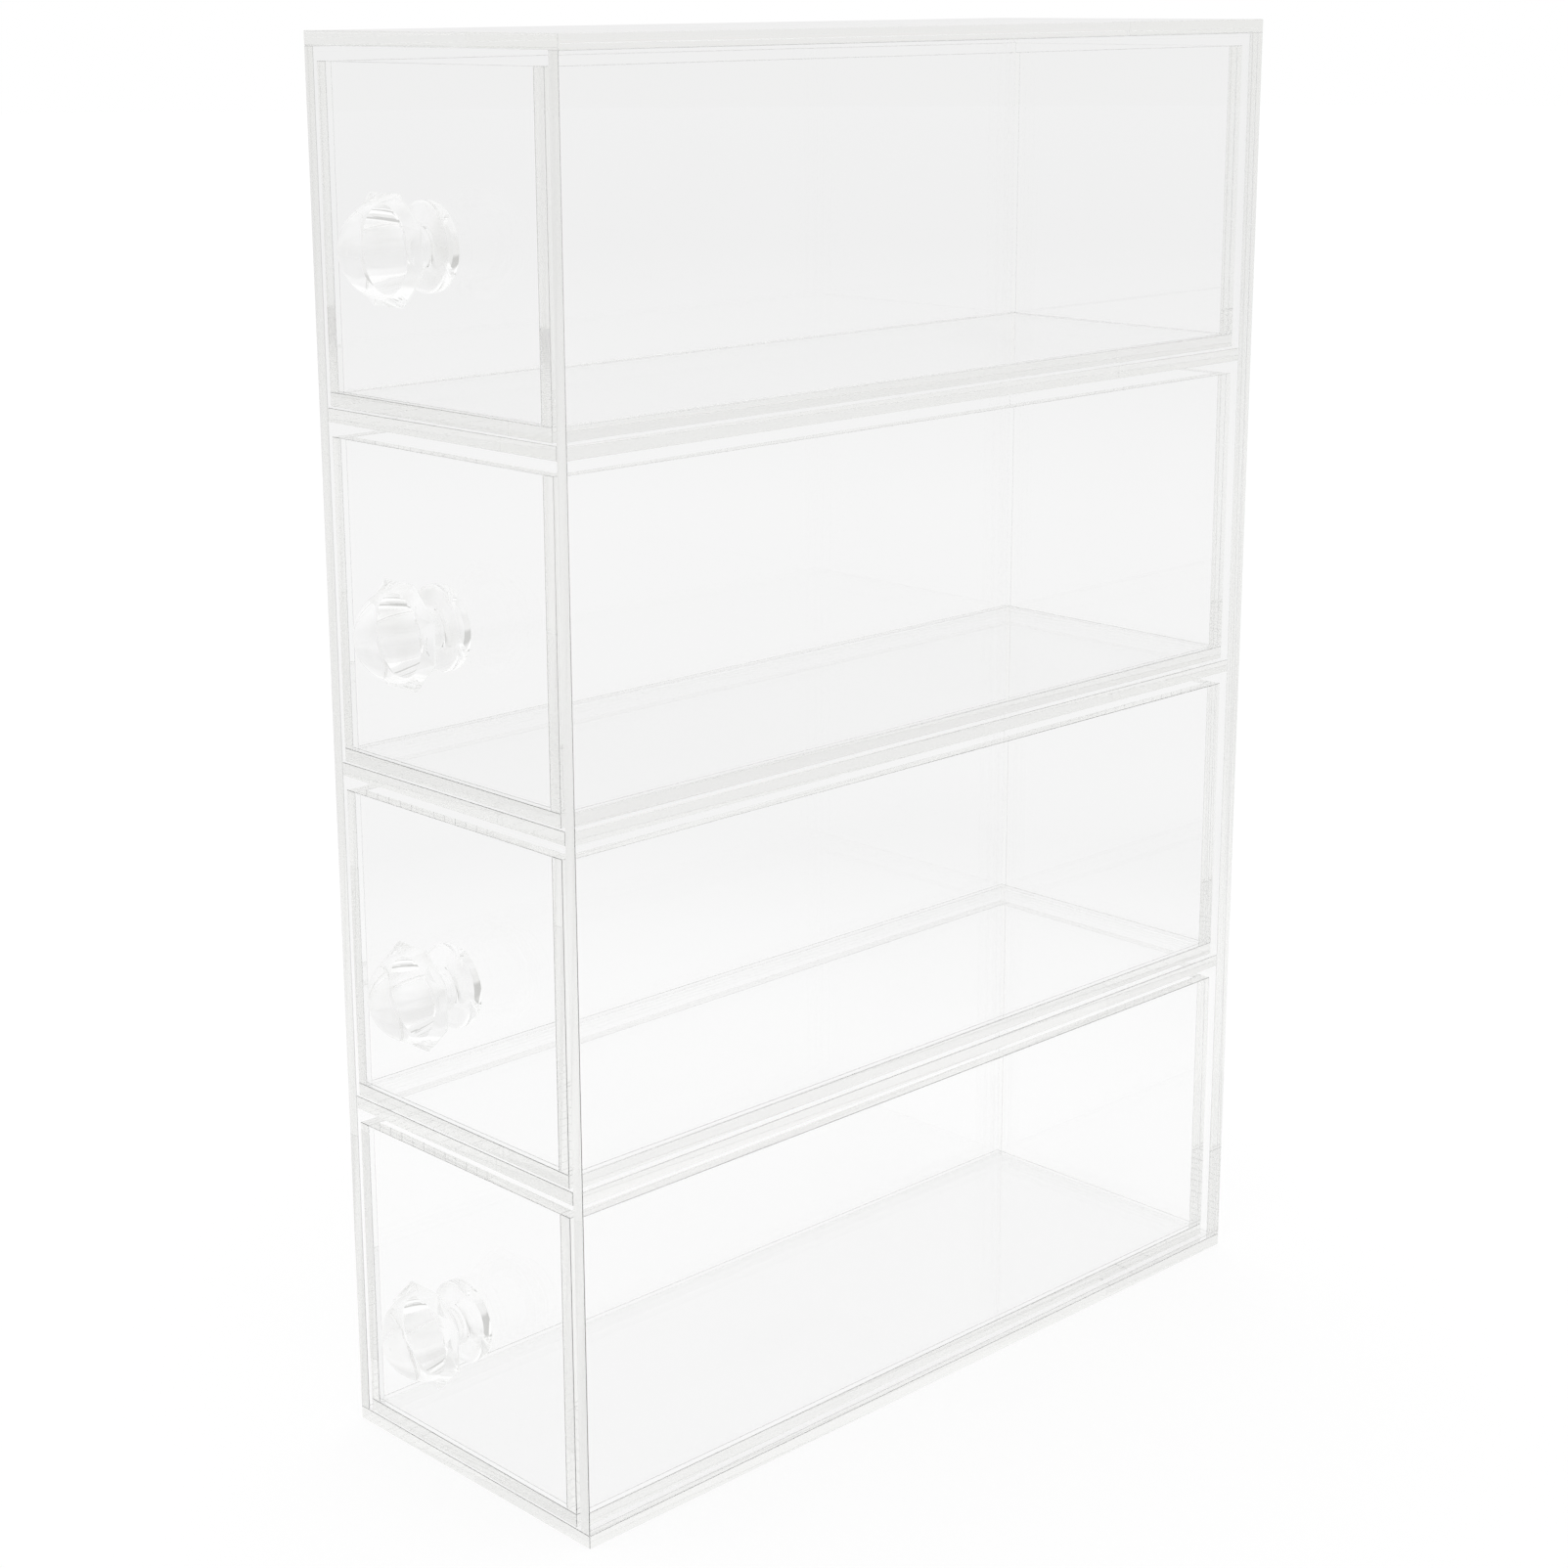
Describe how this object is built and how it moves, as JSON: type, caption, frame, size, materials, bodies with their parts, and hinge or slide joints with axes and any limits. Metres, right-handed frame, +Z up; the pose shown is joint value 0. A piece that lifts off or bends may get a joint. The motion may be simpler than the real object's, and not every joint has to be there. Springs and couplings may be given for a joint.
{
  "type": "drawer storage box",
  "caption": "Tall narrow storage box of clear acrylic sheet, with a stack of equal open-topped drawers that slide out of its front by clear cut knobs.",
  "frame": {"origin": "centre of the cabinet's base, on the surface that it stands on", "axes": "+Z up, -Y out of the front where the drawers open, +X to the right as seen from the front"},
  "size_m": [0.066, 0.1937, 0.255],
  "materials": {
    "cabinet_acrylic": "clear, polished",
    "drawer_acrylic": "clear, polished",
    "knob_acrylic": "clear, cut and polished"
  },
  "bodies": {
    "cabinet": {"cabinet_top": "cabinet_acrylic", "cabinet_bottom": "cabinet_acrylic", "cabinet_left_side": "cabinet_acrylic", "cabinet_right_side": "cabinet_acrylic", "cabinet_back": "cabinet_acrylic", "shelf_1": "cabinet_acrylic", "shelf_2": "cabinet_acrylic", "shelf_3": "cabinet_acrylic"},
    "drawer_1": {"drawer_1_bottom": "drawer_acrylic", "drawer_1_left_side": "drawer_acrylic", "drawer_1_right_side": "drawer_acrylic", "drawer_1_front": "drawer_acrylic", "drawer_1_back": "drawer_acrylic", "drawer_1_knob": "knob_acrylic"},
    "drawer_2": {"drawer_2_bottom": "drawer_acrylic", "drawer_2_left_side": "drawer_acrylic", "drawer_2_right_side": "drawer_acrylic", "drawer_2_front": "drawer_acrylic", "drawer_2_back": "drawer_acrylic", "drawer_2_knob": "knob_acrylic"},
    "drawer_3": {"drawer_3_bottom": "drawer_acrylic", "drawer_3_left_side": "drawer_acrylic", "drawer_3_right_side": "drawer_acrylic", "drawer_3_front": "drawer_acrylic", "drawer_3_back": "drawer_acrylic", "drawer_3_knob": "knob_acrylic"},
    "drawer_4": {"drawer_4_bottom": "drawer_acrylic", "drawer_4_left_side": "drawer_acrylic", "drawer_4_right_side": "drawer_acrylic", "drawer_4_front": "drawer_acrylic", "drawer_4_back": "drawer_acrylic", "drawer_4_knob": "knob_acrylic"}
  },
  "joints": [
    {"name": "drawer_1_slide", "type": "slide", "parent": "cabinet", "child": "drawer_1", "axis": [0, -1, 0], "range_m": [0, 0.15]},
    {"name": "drawer_2_slide", "type": "slide", "parent": "cabinet", "child": "drawer_2", "axis": [0, -1, 0], "range_m": [0, 0.15]},
    {"name": "drawer_3_slide", "type": "slide", "parent": "cabinet", "child": "drawer_3", "axis": [0, -1, 0], "range_m": [0, 0.15]},
    {"name": "drawer_4_slide", "type": "slide", "parent": "cabinet", "child": "drawer_4", "axis": [0, -1, 0], "range_m": [0, 0.15]}
  ]
}
